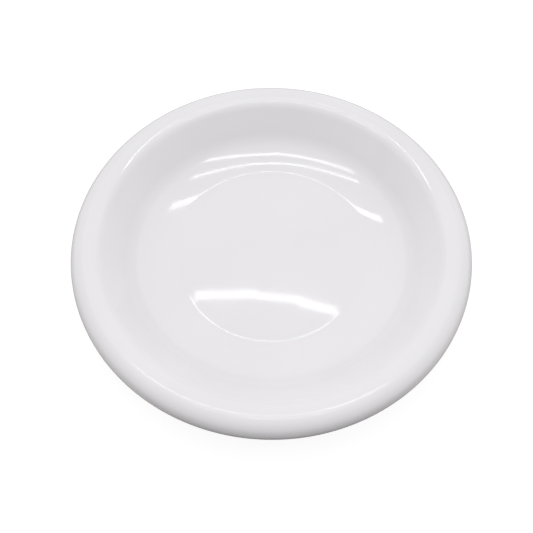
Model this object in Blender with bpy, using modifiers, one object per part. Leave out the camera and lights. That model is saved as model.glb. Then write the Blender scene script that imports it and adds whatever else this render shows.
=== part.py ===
"""A shallow porcelain evaporating dish with a rolled rim, a sloping wall, a flat floor and a foot ring.

The real dish is one fired piece of porcelain with two patches of glaze. Each of the three is an object:
the porcelain body, the glaze coat over the inside, the rim and the outside, and the base glaze in the
recess under the foot. The bare foot ring, which stands on the table, parts the two glazes.

The dish stands on z = 0 with its axis on Z. Outlines are (radius, height) points in millimetres, and a
slope is in degrees above the horizontal, going outwards.
"""

import math
from collections import namedtuple

import bpy

COLLECTION_NAME = "evaporating_dish"
METRES_PER_MM = 0.001
TURN_STEPS = 48
MERGE_DISTANCE = 0.00001

# Driving dimensions of the finished dish, in millimetres
RIM_OUTER_RADIUS = 50.0
RIM_BEAD_RADIUS = 3.36
FLOOR_HEIGHT = 5.6
FLOOR_FLAT_RADIUS = 22.6
BELLY_HEIGHT = 2.5
BELLY_RADIUS = 24.0
NECK_FILLET_RADIUS = 5.0
FOOT_OUTER_RADIUS = 27.0
FOOT_INNER_RADIUS = 23.4
FOOT_FILLET_RADIUS = 1.5
FOOT_EDGE_RADIUS = 0.5
RECESS_HEIGHT = 2.2
RECESS_FILLET_RADIUS = 1.0
RECESS_GLAZE_END = 25.0

# The glaze, and the clearance that parts its solid from the porcelain's
GLAZE_THICKNESS = 0.3
CLEARANCE = 0.3
SAME_POINT = 0.01

# A bend of the inside surface: its radius, and the slope that it ends on.
Bend = namedtuple("Bend", "radius slope steps")
# An arc of an outline, with angles in degrees. It bulges (+1) or is hollow (-1), seen from outside.
Arc = namedtuple("Arc", "r z radius start end bulge steps")
Finish = namedtuple("Finish", "colour roughness coat")

# The hollow bends rise from the floor to the straight of the wall, the bulging ones go over the rim.
HOLLOW_BENDS = (
    Bend(radius=75.0, slope=1.8, steps=1),
    Bend(radius=16.0, slope=5.6, steps=2),
    Bend(radius=110.0, slope=9.8, steps=2),
    Bend(radius=6.0, slope=43.5, steps=4),
)
BULGING_BENDS = (
    Bend(radius=3.0, slope=10.5, steps=3),
    Bend(radius=23.0, slope=2.5, steps=2),
    Bend(radius=RIM_BEAD_RADIUS, slope=0.0, steps=1),
    Bend(radius=RIM_BEAD_RADIUS, slope=-90.0, steps=5),
)

GLAZE_FINISH = Finish(colour=(0.82, 0.82, 0.83), roughness=0.06, coat=0.5)
BISCUIT_FINISH = Finish(colour=(0.78, 0.75, 0.70), roughness=0.75, coat=0.0)


def sine(slope):
    return math.sin(math.radians(slope))


def cosine(slope):
    return math.cos(math.radians(slope))


def hollow_arcs(point, slope):
    """Arcs that steepen from this point and slope, one for each hollow bend, and the point they end at."""
    arcs = []
    for bend in HOLLOW_BENDS:
        centre = (point[0] - bend.radius * sine(slope), point[1] + bend.radius * cosine(slope))
        arcs.append(Arc(*centre, bend.radius, slope - 90, bend.slope - 90, -1, bend.steps))
        slope = bend.slope
        point = (centre[0] + bend.radius * sine(slope), centre[1] - bend.radius * cosine(slope))
    return arcs, point


def bulging_arcs(point, slope):
    """Arcs that ease off from this point and slope, one for each bulging bend."""
    arcs = []
    for bend in BULGING_BENDS:
        centre = (point[0] + bend.radius * sine(slope), point[1] - bend.radius * cosine(slope))
        arcs.append(Arc(*centre, bend.radius, slope + 90, bend.slope + 90, 1, bend.steps))
        slope = bend.slope
        point = (centre[0] - bend.radius * sine(slope), centre[1] + bend.radius * cosine(slope))
    return arcs


def bulging_run():
    """How far the bulging bends reach, from the end of the wall's straight to the rim's outside."""
    run = 0
    slope = HOLLOW_BENDS[-1].slope
    for bend in BULGING_BENDS:
        run += bend.radius * (sine(slope) - sine(bend.slope))
        slope = bend.slope
    return run


def inside_arcs():
    """The arcs from the edge of the flat floor over the rim to its widest point."""
    hollow, wall_foot = hollow_arcs((FLOOR_FLAT_RADIUS, FLOOR_HEIGHT), 0)
    slope = HOLLOW_BENDS[-1].slope
    straight_run = RIM_OUTER_RADIUS - bulging_run() - wall_foot[0]
    wall_top = (wall_foot[0] + straight_run, wall_foot[1] + straight_run * sine(slope) / cosine(slope))
    return hollow + bulging_arcs(wall_top, slope)


def touching_centre(first, first_reach, second, second_reach):
    """The point at these distances from two others, on the right of the way from the first to the second."""
    apart = math.dist(first, second)
    unit = ((second[0] - first[0]) / apart, (second[1] - first[1]) / apart)
    along = (first_reach**2 - second_reach**2 + apart**2) / (2 * apart)
    across = math.sqrt(first_reach**2 - along**2)
    return first[0] + along * unit[0] + across * unit[1], first[1] + along * unit[1] - across * unit[0]


def heading(start, end):
    """The direction from one point to another, in degrees."""
    return math.degrees(math.atan2(end[1] - start[1], end[0] - start[0]))


def outside_arcs(bead):
    """The arcs from the rim's widest point under the bead and down the belly to the side of the foot."""
    belly = (FOOT_OUTER_RADIUS - 1, BELLY_HEIGHT + BELLY_RADIUS)
    neck_reach = BELLY_RADIUS + NECK_FILLET_RADIUS
    neck = touching_centre(belly, neck_reach, bead, RIM_BEAD_RADIUS + NECK_FILLET_RADIUS)
    foot_r = FOOT_OUTER_RADIUS + FOOT_FILLET_RADIUS
    foot_reach = BELLY_RADIUS + FOOT_FILLET_RADIUS
    foot = (foot_r, belly[1] - math.sqrt(foot_reach**2 - (foot_r - belly[0]) ** 2))
    bead_end = heading(bead, neck)
    belly_top = heading(belly, neck)
    belly_low = heading(belly, foot)
    return [
        Arc(*bead, RIM_BEAD_RADIUS, 0, bead_end, 1, 5),
        Arc(*neck, NECK_FILLET_RADIUS, bead_end + 180, belly_top + 180, -1, 4),
        Arc(*belly, BELLY_RADIUS, belly_top, belly_low, 1, 5),
        Arc(*foot, FOOT_FILLET_RADIUS, belly_low + 180, 180, -1, 3),
    ]


def arc_points(arc, depth):
    """Points along an arc, moved depth millimetres into the porcelain."""
    radius = arc.radius - arc.bulge * depth
    points = []
    for step in range(arc.steps + 1):
        angle = arc.start + (arc.end - arc.start) * step / arc.steps
        points.append((arc.r + radius * cosine(angle), arc.z + radius * sine(angle)))
    return points


def chain(arcs, depth):
    """The points of arcs that meet end to end, each meeting point once."""
    points = []
    for arc in arcs:
        for point in arc_points(arc, depth):
            if not points or math.dist(points[-1], point) > SAME_POINT:
                points.append(point)
    return points


def glazed_outline(depth):
    """The outline from the axis over the rim to the foot ring, depth millimetres into the dish."""
    inside = inside_arcs()
    bead = (inside[-1].r, inside[-1].z)
    return [(0, FLOOR_HEIGHT - depth)] + chain(inside + outside_arcs(bead), depth)


def foot_ring_arcs(depth):
    """The bare ring's two rounded edges, the outer one first."""
    outer_r = FOOT_OUTER_RADIUS - depth - FOOT_EDGE_RADIUS
    inner_r = FOOT_INNER_RADIUS + depth + FOOT_EDGE_RADIUS
    return [
        Arc(outer_r, FOOT_EDGE_RADIUS, FOOT_EDGE_RADIUS, 0, -90, 1, 3),
        Arc(inner_r, FOOT_EDGE_RADIUS, FOOT_EDGE_RADIUS, -90, -180, 1, 3),
    ]


def recess_fillet(start):
    """The hollow arc from the side of the foot's recess, at this angle, up to its ceiling."""
    centre_r = FOOT_INNER_RADIUS - RECESS_FILLET_RADIUS
    centre_z = RECESS_HEIGHT - RECESS_FILLET_RADIUS
    return Arc(centre_r, centre_z, RECESS_FILLET_RADIUS, start, 90, -1, 3)


def body_outline():
    """The porcelain under both glazes, with the bare foot ring that stands on the table."""
    depth = GLAZE_THICKNESS + CLEARANCE
    ring = chain(foot_ring_arcs(depth), 0)
    recess = arc_points(recess_fillet(0), depth)
    return glazed_outline(depth) + ring + recess + [(0, RECESS_HEIGHT + depth)]


def coat_outline():
    """The glaze over the inside, the rim and the outside: out along its face, back along its underside."""
    return glazed_outline(0) + glazed_outline(GLAZE_THICKNESS)[::-1]


def base_glaze_outline():
    """The glaze in the foot's recess: out along its back, in along its face."""
    fillet = recess_fillet(RECESS_GLAZE_END)
    back = arc_points(fillet, GLAZE_THICKNESS)[::-1]
    face = arc_points(fillet, 0)
    return [(0, RECESS_HEIGHT + GLAZE_THICKNESS)] + back + face + [(0, RECESS_HEIGHT)]


def make_material(name, finish):
    material = bpy.data.materials.new(name)
    material.use_nodes = True
    shader = material.node_tree.nodes["Principled BSDF"]
    shader.inputs["Base Color"].default_value = (*finish.colour, 1)
    shader.inputs["Roughness"].default_value = finish.roughness
    shader.inputs["Coat Weight"].default_value = finish.coat
    shader.inputs["Metallic"].default_value = 0
    material.diffuse_color = (*finish.colour, 1)
    material.roughness = finish.roughness
    return material


def make_turned(name, outline, finish, collection):
    """A solid turned about Z from an outline that starts at the top of the axis and ends at its bottom."""
    points = [(r * METRES_PER_MM, 0, z * METRES_PER_MM) for r, z in outline]
    edges = [(index, index + 1) for index in range(len(points) - 1)]
    mesh = bpy.data.meshes.new(name)
    mesh.from_pydata(points, edges, [])
    mesh.materials.append(make_material(name, finish))
    solid = bpy.data.objects.new(name, mesh)
    collection.objects.link(solid)
    screw = solid.modifiers.new("turn", "SCREW")
    screw.axis = "Z"
    screw.angle = 2 * math.pi
    screw.steps = TURN_STEPS
    screw.render_steps = TURN_STEPS
    screw.use_merge_vertices = True
    screw.merge_threshold = MERGE_DISTANCE
    screw.use_smooth_shade = True
    return solid


def clear_scene():
    for item in list(bpy.data.objects):
        bpy.data.objects.remove(item, do_unlink=True)


def main():
    clear_scene()
    collection = bpy.data.collections.new(COLLECTION_NAME)
    bpy.context.scene.collection.children.link(collection)
    make_turned("porcelain_body", body_outline(), BISCUIT_FINISH, collection)
    make_turned("glaze_coat", coat_outline(), GLAZE_FINISH, collection)
    make_turned("base_glaze", base_glaze_outline(), GLAZE_FINISH, collection)


main()
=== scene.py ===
"""The looks of a shallow porcelain evaporating dish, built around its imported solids.

Three finely turned pieces stand for the three faceted solids: the porcelain, the glaze over the inside,
the rim and the outside, and the glaze in the recess under the foot. Their section is the solids' own,
apart from small differences. The floor's edge is one even bend, which keeps within 0.02 mm of the
solids' two. The porcelain comes up close to the glaze, whose free edges are rounded, and slow waves run
over the glaze inside the dish.

Outlines are (radius, height) points in millimetres, and a slope is in degrees above the horizontal, going
outwards. The dish's axis is Z, and the camera looks at it from -Y and above.
"""

import math
from collections import namedtuple

import bmesh
import bpy
from mathutils import Matrix, Vector


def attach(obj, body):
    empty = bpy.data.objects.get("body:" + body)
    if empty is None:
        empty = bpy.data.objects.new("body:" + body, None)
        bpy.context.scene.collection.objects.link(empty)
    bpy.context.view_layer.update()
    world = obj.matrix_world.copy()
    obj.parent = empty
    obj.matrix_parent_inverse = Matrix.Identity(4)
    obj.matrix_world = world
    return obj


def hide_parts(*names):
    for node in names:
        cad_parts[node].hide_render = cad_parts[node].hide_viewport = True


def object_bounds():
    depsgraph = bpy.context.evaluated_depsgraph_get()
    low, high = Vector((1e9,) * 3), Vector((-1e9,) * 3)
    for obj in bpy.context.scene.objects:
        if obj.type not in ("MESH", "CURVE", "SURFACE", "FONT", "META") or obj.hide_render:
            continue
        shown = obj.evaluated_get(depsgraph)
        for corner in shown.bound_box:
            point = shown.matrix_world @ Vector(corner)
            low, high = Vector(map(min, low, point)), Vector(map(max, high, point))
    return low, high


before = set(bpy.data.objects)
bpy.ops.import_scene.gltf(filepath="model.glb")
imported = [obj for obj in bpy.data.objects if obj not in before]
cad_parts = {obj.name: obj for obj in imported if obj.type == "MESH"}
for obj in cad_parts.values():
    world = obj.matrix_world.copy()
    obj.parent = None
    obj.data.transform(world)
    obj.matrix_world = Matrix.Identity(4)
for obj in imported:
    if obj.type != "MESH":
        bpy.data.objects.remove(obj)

CAD_LOW, CAD_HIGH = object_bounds()
METRES_PER_MM = 0.001

# The section, in millimetres, as the solids have it
RIM_OUTER_RADIUS = (CAD_HIGH.x - CAD_LOW.x) / 2 / METRES_PER_MM
RIM_BEAD_RADIUS = 3.36
FLOOR_HEIGHT = 5.6
BELLY_HEIGHT = 2.5
BELLY_RADIUS = 24.0
BELLY_CENTRE_INSET = 1.0
NECK_FILLET_RADIUS = 5.0
FOOT_OUTER_RADIUS = 27.0
FOOT_INNER_RADIUS = 23.4
FOOT_FILLET_RADIUS = 1.5
FOOT_EDGE_RADIUS = 0.5
FOOT_SIDE_INSET = 0.6
RECESS_HEIGHT = 2.2
RECESS_FILLET_RADIUS = 1.0
RECESS_GLAZE_END = 25.0
GLAZE_THICKNESS = 0.3

# What differs from the solids: where the floor's bend starts, how deep the porcelain lies under the
# glazed face, and how high the foot ring's sides rise before they slope to the glaze
FLOOR_FLAT_RADIUS = 23.59
BODY_DEPTH = 0.32
FOOT_SIDE_TOP = 0.7

# How finely the pieces are turned, with lengths in millimetres
TURN_STEPS = 256
FLOOR_RING_WIDTH = 1.2
ARC_CHORD = 0.25
FEWEST_ARC_STEPS = 3
SAME_POINT = 0.001

# A bend of the inside surface: its radius in millimetres, and the slope that it ends on.
Bend = namedtuple("Bend", "radius slope")
# An arc of an outline, with angles in degrees. It bulges (+1) or is hollow (-1), seen from outside.
Arc = namedtuple("Arc", "r z radius start end bulge")
# A slow wave in the glaze: its length and height in millimetres, the direction that it runs in, in
# degrees, and its phase, in radians.
Wave = namedtuple("Wave", "length height direction phase")
# A noise of a material: the size of its grains in millimetres, and how many finer layers it has.
Grain = namedtuple("Grain", "size detail")
# A straight stretch of a lamp tube, by the directions of its ends from the dish. A direction is degrees to
# the right and degrees above the far horizon, and the half height is in degrees.
Tube = namedtuple("Tube", "name left right half_height")

# The hollow bends rise from the floor to the straight of the wall, the bulging ones go over the rim.
HOLLOW_BENDS = (
    Bend(radius=27.5, slope=5.78),
    Bend(radius=110.0, slope=9.8),
    Bend(radius=6.0, slope=43.5),
)
BULGING_BENDS = (
    Bend(radius=3.0, slope=10.5),
    Bend(radius=23.0, slope=2.5),
    Bend(radius=RIM_BEAD_RADIUS, slope=0.0),
    Bend(radius=RIM_BEAD_RADIUS, slope=-90.0),
)

# The glaze's slow waves, and the two radii in millimetres between which they fade out up the wall
GLAZE_WAVES = (
    Wave(length=31.0, height=0.004, direction=20, phase=0.4),
    Wave(length=23.0, height=0.002, direction=100, phase=2.1),
)
WAVES_FADE_FROM = 34.0
WAVES_FADE_TO = 42.0

# The glaze, with lengths in millimetres. It is thin low down beside the foot ring, with a ragged limit.
GLAZE_COLOURS = ((0.85, 0.834, 0.858), (0.87, 0.856, 0.874))
GLAZE_TINT_DRIFT = Grain(22.0, 2)
GLAZE_ROUGHNESSES = (0.02, 0.05)
GLAZE_GLOSS_DRIFT = Grain(9.0, 3)
GLAZE_IOR = 1.5
GLAZE_RIPPLE = Grain(2.5, 1)
GLAZE_RIPPLE_DEPTH = 0.0006
THIN_GLAZE_COLOUR = (0.70, 0.66, 0.61)
THIN_GLAZE_BELOW = 1.3
THIN_GLAZE_WIDTH = 0.6
THIN_GLAZE_RAGGED = 0.4
THIN_GLAZE_EDGE = Grain(1.5, 3)

# The bare porcelain, with lengths in millimetres. The rings of Blender's wave texture are one period
# apart at a scale of 1.
BISCUIT_COLOURS = ((0.70, 0.66, 0.60), (0.78, 0.75, 0.70))
BISCUIT_PATCHES = Grain(3.0, 4)
BISCUIT_ROUGHNESS = 0.75
BISCUIT_GRAIN = Grain(0.25, 3)
BISCUIT_RELIEF_DEPTH = 0.015
# The turning marks' hollows get painted shade: this darker colour, mixed in up to this share where the rings
# are lowest.
TURNING_HOLLOW_SHADE_COLOUR = (0.56, 0.52, 0.46)
TURNING_HOLLOW_SHADE_SHARE = 0.4
TURNING_PITCH = 0.35
TURNING_DISTORTION = 1.5
TURNING_DETAIL = 2
WAVE_TEXTURE_PERIOD = math.pi / 10
RUBBED_COLOUR = (0.55, 0.52, 0.48)
RUBBED_HEIGHT = 0.25
RUBBED_SHARE = 0.7
RUBBED_PATCHES = Grain(2.0, 3)

# The part of a noise's values over which a material varies
NOISE_LOW = 0.3
NOISE_HIGH = 0.7

# The room's light: its walls and ceiling, and the dark low down in front of the dish. The dark fades
# out between two sines of the angle above a horizon that is tilted up in front by DARK_TILT degrees.
HORIZON_COLOUR = (0.93, 0.93, 0.93)
ZENITH_COLOUR = (0.68, 0.68, 0.68)
DARK_COLOUR = (0.05, 0.042, 0.036)
DARK_TILT = 14.0
DARK_UP_TO = -0.3
ROOM_FROM = 0.06

# The room's glow high up behind the dish: its place and its two radii in degrees, and the share by
# which its middle is brighter than the rest of the room
GLOW_RISE = 56.0
GLOW_INNER = 5.0
GLOW_OUTER = 18.0
GLOW_SHARE = 1.0

# The broad light from behind the dish, with its height and its width in degrees
KEY_RISE = 52.0
KEY_ANGLE = 40.0
KEY_STRENGTH = 0.48

# The studio around the dish, in metres. Most of the floor's light and all of the backdrop's is their own
# glow, which keeps them plain and the dish's shadow faint.
STAGE_GLOW_COLOUR = (1, 1, 1)
STAGE_REACH = 3.0
STAGE_ROUGHNESS = 0.9
FLOOR_COLOUR = (0.32, 0.32, 0.32)
FLOOR_GLOW = 0.83
BACKDROP_COLOUR = (0, 0, 0)
BACKDROP_GLOW = 0.93
BACKDROP_STEPS = 64
BENCH_HEIGHT = -0.0002
BENCH_COLOUR = (0.45, 0.43, 0.41)
CARD_HEIGHT = -0.0001
CARD_COLOUR = (0.02, 0.015, 0.01)
CARD_LOW = (-0.15, -0.4)
CARD_HIGH = (0.15, -0.049)

# The lamp tubes that the dish mirrors, with their distance in metres
LAMP_DISTANCE = 15.0
LAMP_RADIANCE = 6.5
TUBES = (
    Tube("far_tube_left", (-5.1, 63.3), (-0.7, 63.2), 0.3),
    Tube("far_tube_right", (-0.8, 63.37), (2.5, 63.6), 0.25),
    Tube("far_tube_end", (2.3, 63.75), (5.1, 64.3), 0.32),
    Tube("middle_tube", (-4.8, 67.3), (4.7, 67.25), 0.23),
    Tube("near_tube_left", (-4.9, 68.65), (0.3, 69.75), 0.3),
    Tube("near_tube_right", (0.2, 69.5), (4.75, 70.05), 0.3),
)

# The camera: degrees, metres, and millimetres for the lens and the sensor
CAMERA_ELEVATION = 61.2
CAMERA_DISTANCE = 0.1979
CAMERA_AIM = Vector((-0.0012, -0.0064, CAD_HIGH.z - RIM_BEAD_RADIUS * METRES_PER_MM))
CAMERA_LENS = 54.0
CAMERA_SENSOR = 36.0
CAMERA_CLIP_START = 0.01


def sine(degrees):
    return math.sin(math.radians(degrees))


def cosine(degrees):
    return math.cos(math.radians(degrees))


def hollow_arcs(point, slope):
    """Arcs that steepen from this point and slope, one for each hollow bend, and the point they end at."""
    arcs = []
    for bend in HOLLOW_BENDS:
        centre = (point[0] - bend.radius * sine(slope), point[1] + bend.radius * cosine(slope))
        arcs.append(Arc(*centre, bend.radius, slope - 90, bend.slope - 90, -1))
        slope = bend.slope
        point = (centre[0] + bend.radius * sine(slope), centre[1] - bend.radius * cosine(slope))
    return arcs, point


def bulging_arcs(point, slope):
    """Arcs that ease off from this point and slope, one for each bulging bend."""
    arcs = []
    for bend in BULGING_BENDS:
        centre = (point[0] + bend.radius * sine(slope), point[1] - bend.radius * cosine(slope))
        arcs.append(Arc(*centre, bend.radius, slope + 90, bend.slope + 90, 1))
        slope = bend.slope
        point = (centre[0] - bend.radius * sine(slope), centre[1] + bend.radius * cosine(slope))
    return arcs


def bulging_run():
    """How far the bulging bends reach, from the end of the wall's straight to the rim's outside."""
    run = 0
    slope = HOLLOW_BENDS[-1].slope
    for bend in BULGING_BENDS:
        run += bend.radius * (sine(slope) - sine(bend.slope))
        slope = bend.slope
    return run


def inside_arcs():
    """The arcs from the edge of the flat floor over the rim to its widest point."""
    hollow, wall_foot = hollow_arcs((FLOOR_FLAT_RADIUS, FLOOR_HEIGHT), 0)
    slope = HOLLOW_BENDS[-1].slope
    straight_run = RIM_OUTER_RADIUS - bulging_run() - wall_foot[0]
    wall_top = (wall_foot[0] + straight_run, wall_foot[1] + straight_run * sine(slope) / cosine(slope))
    return hollow + bulging_arcs(wall_top, slope)


def touching_centre(first, first_reach, second, second_reach):
    """The point at these distances from two others, on the right of the way from the first to the second."""
    apart = math.dist(first, second)
    unit = ((second[0] - first[0]) / apart, (second[1] - first[1]) / apart)
    along = (first_reach**2 - second_reach**2 + apart**2) / (2 * apart)
    across = math.sqrt(first_reach**2 - along**2)
    return first[0] + along * unit[0] + across * unit[1], first[1] + along * unit[1] - across * unit[0]


def heading(start, end):
    """The direction from one point to another, in degrees."""
    return math.degrees(math.atan2(end[1] - start[1], end[0] - start[0]))


def outside_arcs(bead):
    """The arcs from the rim's widest point under the bead and down the belly to the side of the foot."""
    belly = (FOOT_OUTER_RADIUS - BELLY_CENTRE_INSET, BELLY_HEIGHT + BELLY_RADIUS)
    neck_reach = BELLY_RADIUS + NECK_FILLET_RADIUS
    neck = touching_centre(belly, neck_reach, bead, RIM_BEAD_RADIUS + NECK_FILLET_RADIUS)
    foot_r = FOOT_OUTER_RADIUS + FOOT_FILLET_RADIUS
    foot_reach = BELLY_RADIUS + FOOT_FILLET_RADIUS
    foot = (foot_r, belly[1] - math.sqrt(foot_reach**2 - (foot_r - belly[0]) ** 2))
    bead_end = heading(bead, neck)
    belly_top = heading(belly, neck)
    belly_low = heading(belly, foot)
    return [
        Arc(*bead, RIM_BEAD_RADIUS, 0, bead_end, 1),
        Arc(*neck, NECK_FILLET_RADIUS, bead_end + 180, belly_top + 180, -1),
        Arc(*belly, BELLY_RADIUS, belly_top, belly_low, 1),
        Arc(*foot, FOOT_FILLET_RADIUS, belly_low + 180, 180, -1),
    ]


def arc_points(arc, depth):
    """Points about ARC_CHORD apart along an arc, moved depth millimetres into the porcelain."""
    radius = arc.radius - arc.bulge * depth
    turn = math.radians(abs(arc.end - arc.start))
    steps = max(FEWEST_ARC_STEPS, round(turn * arc.radius / ARC_CHORD))
    points = []
    for step in range(steps + 1):
        angle = arc.start + (arc.end - arc.start) * step / steps
        points.append((arc.r + radius * cosine(angle), arc.z + radius * sine(angle)))
    return points


def straight_points(start, end):
    """Points about ARC_CHORD apart between two others, without the two."""
    steps = max(1, round(math.dist(start, end) / ARC_CHORD))
    return [
        (start[0] + (end[0] - start[0]) * step / steps, start[1] + (end[1] - start[1]) * step / steps)
        for step in range(1, steps)
    ]


def chain(arcs, depth):
    """The points of arcs that follow each other, with a finely divided straight where two don't meet."""
    points = []
    for arc in arcs:
        stretch = arc_points(arc, depth)
        if points and math.dist(points[-1], stretch[0]) > SAME_POINT:
            points += straight_points(points[-1], stretch[0])
        elif points:
            stretch = stretch[1:]
        points += stretch
    return points


def level_points(radius, height):
    """Points of a level disc from the axis to just inside this radius."""
    steps = round(radius / FLOOR_RING_WIDTH)
    return [(radius * step / steps, height) for step in range(steps)]


def glazed_outline(depth):
    """The outline from the axis over the rim to the foot ring, depth millimetres into the dish."""
    inside = inside_arcs()
    bead = (inside[-1].r, inside[-1].z)
    floor = level_points(FLOOR_FLAT_RADIUS, FLOOR_HEIGHT - depth)
    return floor + chain(inside + outside_arcs(bead), depth)


def rounded_edge(outer, inner):
    """A half-round edge from the outer to the inner point of a skin, bulging to the right of the way."""
    centre = ((outer[0] + inner[0]) / 2, (outer[1] + inner[1]) / 2)
    radius = math.dist(outer, inner) / 2
    start = heading(centre, outer)
    return arc_points(Arc(*centre, radius, start, start - 180, 1), 0)[1:-1]


def recess_arc(start, end):
    """The hollow arc from the side of the foot's recess to its ceiling, between these angles."""
    centre_r = FOOT_INNER_RADIUS - RECESS_FILLET_RADIUS
    centre_z = RECESS_HEIGHT - RECESS_FILLET_RADIUS
    return Arc(centre_r, centre_z, RECESS_FILLET_RADIUS, start, end, -1)


def coat_outline():
    """The glaze over the inside, the rim and the outside: out along its face, back along its back."""
    face = glazed_outline(0)
    back = glazed_outline(GLAZE_THICKNESS)[::-1]
    return face + rounded_edge(face[-1], back[0]) + back


def base_glaze_outline():
    """The glaze in the foot's recess: out along its back, in along its face."""
    fillet = recess_arc(RECESS_GLAZE_END, 90)
    ceiling = level_points(fillet.r, RECESS_HEIGHT + GLAZE_THICKNESS)
    back = ceiling + arc_points(fillet, GLAZE_THICKNESS)[::-1]
    face = arc_points(fillet, 0) + level_points(fillet.r, RECESS_HEIGHT)[::-1]
    return back + rounded_edge(back[-1], face[0]) + face


def body_outline():
    """The porcelain: close under both glazes, and bare on the foot ring, whose sides taper to the glaze."""
    outer_r = FOOT_OUTER_RADIUS - FOOT_SIDE_INSET - FOOT_EDGE_RADIUS
    inner_r = FOOT_INNER_RADIUS + FOOT_SIDE_INSET + FOOT_EDGE_RADIUS
    sides = [(FOOT_OUTER_RADIUS - FOOT_SIDE_INSET, FOOT_SIDE_TOP)]
    outer_edge = Arc(outer_r, FOOT_EDGE_RADIUS, FOOT_EDGE_RADIUS, 0, -90, 1)
    inner_edge = Arc(inner_r, FOOT_EDGE_RADIUS, FOOT_EDGE_RADIUS, -90, -180, 1)
    recess = arc_points(recess_arc(RECESS_GLAZE_END, 90), BODY_DEPTH)
    ceiling = level_points(recess[-1][0], recess[-1][1])[::-1]
    ring = chain([outer_edge, inner_edge], 0)
    ring.append((FOOT_INNER_RADIUS + FOOT_SIDE_INSET, FOOT_SIDE_TOP))
    return glazed_outline(BODY_DEPTH) + sides + ring + recess + ceiling


def add_object(name, data):
    """A new object in the scene with this mesh, light or camera."""
    made = bpy.data.objects.new(name, data)
    bpy.context.scene.collection.objects.link(made)
    return made


def wave_height(x, y):
    """The slow unevenness of the glaze over the floor and the wall, in millimetres."""
    height = 0
    for wave in GLAZE_WAVES:
        along = x * cosine(wave.direction) + y * sine(wave.direction)
        height += wave.height * math.sin(2 * math.pi * along / wave.length + wave.phase)
    return height


def make_turned(name, outline, material, relief=None):
    """A mesh turned about Z from an outline that starts at the top of the axis and ends at its bottom."""
    shape = bmesh.new()
    rings = []
    for r, z in outline:
        count = TURN_STEPS if r > 0 else 1
        ring = []
        for step in range(count):
            angle = 360 * step / TURN_STEPS
            x, y = r * cosine(angle), r * sine(angle)
            lift = relief(r, z, x, y) if relief else 0
            ring.append(shape.verts.new(Vector((x, y, z + lift)) * METRES_PER_MM))
        rings.append(ring)
    for upper, lower in zip(rings, rings[1:]):
        for step in range(TURN_STEPS):
            after = (step + 1) % TURN_STEPS
            corners = [upper[step % len(upper)], lower[step % len(lower)]]
            corners += [lower[after % len(lower)], upper[after % len(upper)]]
            shape.faces.new(list(dict.fromkeys(corners)))
    bmesh.ops.recalc_face_normals(shape, faces=shape.faces)
    mesh = bpy.data.meshes.new(name)
    shape.to_mesh(mesh)
    shape.free()
    mesh.shade_smooth()
    mesh.materials.append(material)
    return add_object(name, mesh)


def glaze_relief(r, z, x, y):
    """The waves of the glaze, which fade out up the wall and are absent from the rim and the outside."""
    if r > WAVES_FADE_TO or z < FLOOR_HEIGHT - GLAZE_THICKNESS:
        return 0
    share = (WAVES_FADE_TO - r) / (WAVES_FADE_TO - WAVES_FADE_FROM)
    return wave_height(x, y) * min(1, share)


def feed(tree, value, socket):
    """Give a node's input its value: another node's socket, a number, or a colour's red, green and blue."""
    if isinstance(value, bpy.types.NodeSocket):
        tree.links.new(value, socket)
    elif isinstance(value, tuple):
        socket.default_value = (*value, 1)
    else:
        socket.default_value = value


def make_node(tree, kind, **values):
    """A node of this kind, with some of its inputs fed by name."""
    made = tree.nodes.new(kind)
    for name, value in values.items():
        feed(tree, value, made.inputs[name.replace("_", " ")])
    return made


def calculate(tree, operation, *terms):
    """The socket of an arithmetic node with these terms."""
    made = tree.nodes.new("ShaderNodeMath")
    made.operation = operation
    for term, socket in zip(terms, made.inputs):
        feed(tree, term, socket)
    return made.outputs["Value"]


def new_material(name):
    """A material and its shader node."""
    material = bpy.data.materials.new(name)
    material.use_nodes = True
    return material, material.node_tree.nodes["Principled BSDF"]


def object_point(tree):
    """The socket with the place on the piece, in metres."""
    return make_node(tree, "ShaderNodeTexCoord").outputs["Object"]


def noise(tree, point, grain):
    """The socket of a noise whose grains are about this size."""
    made = make_node(tree, "ShaderNodeTexNoise", Vector=point, Scale=1 / (grain.size * METRES_PER_MM))
    made.inputs["Detail"].default_value = grain.detail
    return made.outputs["Fac"]


def between(tree, factor, low, high, from_low=0, from_high=1):
    """The socket of a number that goes from low to high as the factor goes from from_low to from_high."""
    made = make_node(tree, "ShaderNodeMapRange", Value=factor, From_Min=from_low, From_Max=from_high)
    feed(tree, low, made.inputs["To Min"])
    feed(tree, high, made.inputs["To Max"])
    return made.outputs["Result"]


def vary(tree, point, grain, low, high):
    """The socket of a number that drifts from low to high with a noise."""
    return between(tree, noise(tree, point, grain), low, high, NOISE_LOW, NOISE_HIGH)


def mix_colours(tree, factor, low, high):
    """The socket of a colour that goes from low to high with the factor. Each is a colour or a socket."""
    made = tree.nodes.new("ShaderNodeMix")
    made.data_type = "RGBA"
    feed(tree, factor, made.inputs["Factor"])
    for name, colour in (("A", low), ("B", high)):
        feed(tree, colour, next(s for s in made.inputs if s.name == name and s.type == "RGBA"))
    return next(s for s in made.outputs if s.type == "RGBA")


def bump(tree, height, depth, shader):
    """Roughen a shader by a socket's height, to this depth in millimetres."""
    made = make_node(tree, "ShaderNodeBump", Strength=1, Distance=depth * METRES_PER_MM, Height=height)
    feed(tree, made.outputs["Normal"], shader.inputs["Normal"])


def height_above_table(tree, point):
    """The socket of the height of a place on the piece, in metres."""
    return make_node(tree, "ShaderNodeSeparateXYZ", Vector=point).outputs["Z"]


def thin_glaze(tree, point):
    """The socket of a share that rises to 1 at the glaze's uneven edges beside the foot ring."""
    unevenness = noise(tree, point, THIN_GLAZE_EDGE)
    height = height_above_table(tree, point)
    ragged = calculate(tree, "MULTIPLY_ADD", unevenness, THIN_GLAZE_RAGGED * METRES_PER_MM, height)
    full = THIN_GLAZE_BELOW * METRES_PER_MM
    none = (THIN_GLAZE_BELOW + THIN_GLAZE_WIDTH) * METRES_PER_MM
    return between(tree, ragged, 1, 0, full, none)


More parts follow.
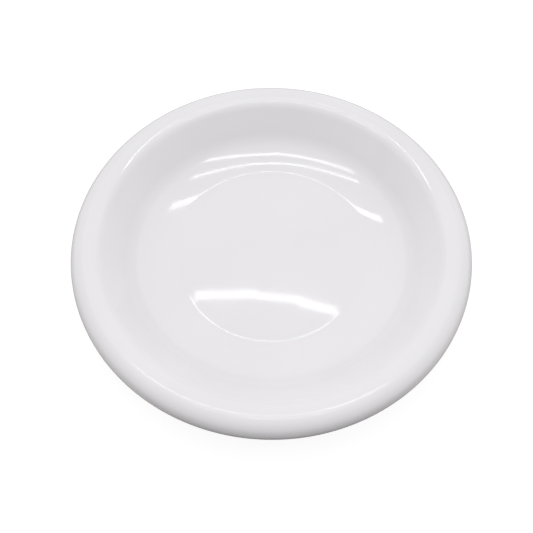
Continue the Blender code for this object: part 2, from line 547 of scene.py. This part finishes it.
def glaze_material():
    """A clear white glaze: glossy, hardly uneven, with a slow drift of tint and gloss.

    It thins out towards its edges beside the foot, where the porcelain's warmer colour shows through.
    """
    material, shader = new_material("white_glaze")
    tree = material.node_tree
    point = object_point(tree)
    clear = mix_colours(tree, vary(tree, point, GLAZE_TINT_DRIFT, 0, 1), *GLAZE_COLOURS)
    colour = mix_colours(tree, thin_glaze(tree, point), clear, THIN_GLAZE_COLOUR)
    feed(tree, colour, shader.inputs["Base Color"])
    feed(tree, vary(tree, point, GLAZE_GLOSS_DRIFT, *GLAZE_ROUGHNESSES), shader.inputs["Roughness"])
    shader.inputs["IOR"].default_value = GLAZE_IOR
    bump(tree, noise(tree, point, GLAZE_RIPPLE), GLAZE_RIPPLE_DEPTH, shader)
    return material


def turning_marks(tree, point):
    """The socket of a wave whose crests are rings about the dish's axis."""
    marks = make_node(tree, "ShaderNodeTexWave", Vector=point, Distortion=TURNING_DISTORTION)
    marks.wave_type = "RINGS"
    marks.rings_direction = "Z"
    marks.inputs["Scale"].default_value = WAVE_TEXTURE_PERIOD / (TURNING_PITCH * METRES_PER_MM)
    marks.inputs["Detail"].default_value = TURNING_DETAIL
    return marks.outputs["Fac"]


def biscuit_material():
    """The bare porcelain of the foot ring: matt and warm, with turning marks that have painted shade in
    their hollows, grain and rubbed places.
    """
    material, shader = new_material("porcelain_biscuit")
    tree = material.node_tree
    point = object_point(tree)
    marks = turning_marks(tree, point)
    smooth = mix_colours(tree, vary(tree, point, BISCUIT_PATCHES, 0, 1), *BISCUIT_COLOURS)
    # Painted shade: the hollows of the turning marks are darkened.
    turned = mix_colours(tree, between(tree, marks, TURNING_HOLLOW_SHADE_SHARE, 0), smooth, TURNING_HOLLOW_SHADE_COLOUR)
    low = between(tree, height_above_table(tree, point), 1, 0, 0, RUBBED_HEIGHT * METRES_PER_MM)
    rubbed = calculate(tree, "MULTIPLY", low, vary(tree, point, RUBBED_PATCHES, 0, RUBBED_SHARE))
    feed(tree, mix_colours(tree, rubbed, turned, RUBBED_COLOUR), shader.inputs["Base Color"])
    shader.inputs["Roughness"].default_value = BISCUIT_ROUGHNESS
    relief = calculate(tree, "ADD", marks, noise(tree, point, BISCUIT_GRAIN))
    bump(tree, relief, BISCUIT_RELIEF_DEPTH, shader)
    return material


def make_dish():
    """The three turned pieces in place of the three solids."""
    glaze = glaze_material()
    coat = make_turned("glaze_coat_turned", coat_outline(), glaze, glaze_relief)
    base = make_turned("base_glaze_turned", base_glaze_outline(), glaze)
    body = make_turned("porcelain_turned", body_outline(), biscuit_material())
    for piece, node, slot in (
        (coat, "glaze_coat", "glaze"),
        (base, "base_glaze", "glaze"),
        (body, "porcelain_body", "porcelain"),
    ):
        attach(piece, "root")
        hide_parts(node)


def make_stage_piece(name, corners, faces, colour, glow):
    """A matt surface, which may glow. It belongs to the studio, not to the dish."""
    mesh = bpy.data.meshes.new(name)
    mesh.from_pydata(corners, [], faces)
    piece = add_object(name, mesh)
    material, shader = new_material(name)
    shader.inputs["Base Color"].default_value = (*colour, 1)
    shader.inputs["Roughness"].default_value = STAGE_ROUGHNESS
    shader.inputs["Specular IOR Level"].default_value = 0
    shader.inputs["Emission Color"].default_value = (*STAGE_GLOW_COLOUR, 1)
    shader.inputs["Emission Strength"].default_value = glow
    mesh.materials.append(material)
    return piece


def make_sheet(name, low, high, height, colour, glow=0.0):
    """A level rectangle of the studio between two corners."""
    corners = [(low[0], low[1]), (high[0], low[1]), (high[0], high[1]), (low[0], high[1])]
    return make_stage_piece(name, [(x, y, height) for x, y in corners], [(0, 1, 2, 3)], colour, glow)


def hide_from_dish(piece):
    """Let only the camera see this piece, so that it neither lights, shades nor shows in the dish."""
    piece.visible_diffuse = False
    piece.visible_glossy = False
    piece.visible_shadow = False


def make_surroundings():
    """The white floor and backdrop that the camera sees, and what the dish has under it in their place.

    The dish mirrors a grey bench and, in front of it, a dark card, which gives the near side of the rim
    its dark lower edge.
    """
    low = (-STAGE_REACH, -STAGE_REACH)
    high = (STAGE_REACH, STAGE_REACH)
    hide_from_dish(make_sheet("floor", low, high, 0, FLOOR_COLOUR, FLOOR_GLOW))
    ring = []
    for step in range(BACKDROP_STEPS):
        angle = 360 * step / BACKDROP_STEPS
        x, y = STAGE_REACH * cosine(angle), STAGE_REACH * sine(angle)
        ring += [(x, y, 0), (x, y, STAGE_REACH)]
    count = len(ring)
    walls = [(i, (i + 2) % count, (i + 3) % count, i + 1) for i in range(0, count, 2)]
    hide_from_dish(make_stage_piece("backdrop", ring, walls, BACKDROP_COLOUR, BACKDROP_GLOW))
    bench = make_sheet("bench", low, high, BENCH_HEIGHT, BENCH_COLOUR)
    bench.visible_camera = False
    card = make_sheet("card", CARD_LOW, CARD_HIGH, CARD_HEIGHT, CARD_COLOUR)
    card.visible_camera = False


def direction(side, rise):
    """The unit vector to a place this far to the right and above the far horizon, in degrees."""
    return Vector((sine(side), cosine(side) * cosine(rise), cosine(side) * sine(rise)))


def make_tube_lamp(tube):
    """A straight bright strip, far off between its two directions, facing the dish."""
    left = direction(*tube.left)
    right = direction(*tube.right)
    towards = (left + right).normalized()
    across = (right - left).normalized()
    light = bpy.data.lights.new(tube.name, "AREA")
    light.shape = "RECTANGLE"
    light.size = LAMP_DISTANCE * (right - left).length
    light.size_y = 2 * LAMP_DISTANCE * math.tan(math.radians(tube.half_height))
    light.energy = LAMP_RADIANCE * math.pi * light.size * light.size_y
    lamp = add_object(tube.name, light)
    lamp.matrix_world = Matrix((across, towards.cross(across), towards)).transposed().to_4x4()
    lamp.location = CAMERA_AIM + towards * LAMP_DISTANCE


def make_key():
    """The broad soft light high up behind the dish."""
    light = bpy.data.lights.new("key", "SUN")
    light.energy = KEY_STRENGTH
    light.angle = math.radians(KEY_ANGLE)
    key = add_object("key", light)
    key.rotation_euler = (math.radians(KEY_RISE - 90), 0, 0)
    key.visible_glossy = False


def dot_product(tree, vector, fixed):
    """The socket of the dot product of a vector's socket with a fixed vector."""
    made = tree.nodes.new("ShaderNodeVectorMath")
    made.operation = "DOT_PRODUCT"
    made.inputs[1].default_value = fixed
    feed(tree, vector, made.inputs[0])
    return made.outputs["Value"]


def make_room():
    """The light of a pale room: paler walls than ceiling, a glow high up behind the dish, and dark low
    down in front of it.
    """
    world = bpy.data.worlds.new("soft_room")
    bpy.context.scene.world = world
    world.use_nodes = True
    tree = world.node_tree
    background = tree.nodes["Background"]
    towards = make_node(tree, "ShaderNodeTexCoord").outputs["Generated"]
    height = dot_product(tree, towards, direction(0, 90 - DARK_TILT))
    above = between(tree, height, 0, 1, DARK_UP_TO, ROOM_FROM)
    up = between(tree, dot_product(tree, towards, (0, 0, 1)), 0, 1)
    room = mix_colours(tree, up, HORIZON_COLOUR, ZENITH_COLOUR)
    colour = mix_colours(tree, above, DARK_COLOUR, room)
    feed(tree, colour, background.inputs["Color"])
    nearness = dot_product(tree, towards, direction(0, GLOW_RISE))
    glow = between(tree, nearness, 1, 1 + GLOW_SHARE, cosine(GLOW_OUTER), cosine(GLOW_INNER))
    feed(tree, glow, background.inputs["Strength"])


def make_camera():
    """The camera, in front of the dish and above it."""
    data = bpy.data.cameras.new("camera")
    data.lens = CAMERA_LENS
    data.sensor_width = CAMERA_SENSOR
    data.clip_start = CAMERA_CLIP_START
    camera = add_object("camera", data)
    back = Vector((0, -cosine(CAMERA_ELEVATION), sine(CAMERA_ELEVATION)))
    camera.location = CAMERA_AIM + back * CAMERA_DISTANCE
    camera.rotation_euler = (math.radians(90 - CAMERA_ELEVATION), 0, 0)
    bpy.context.scene.camera = camera


make_camera()
make_dish()
make_surroundings()
for tube in TUBES:
    make_tube_lamp(tube)
make_key()
make_room()
bpy.context.scene.view_settings.view_transform = "Standard"
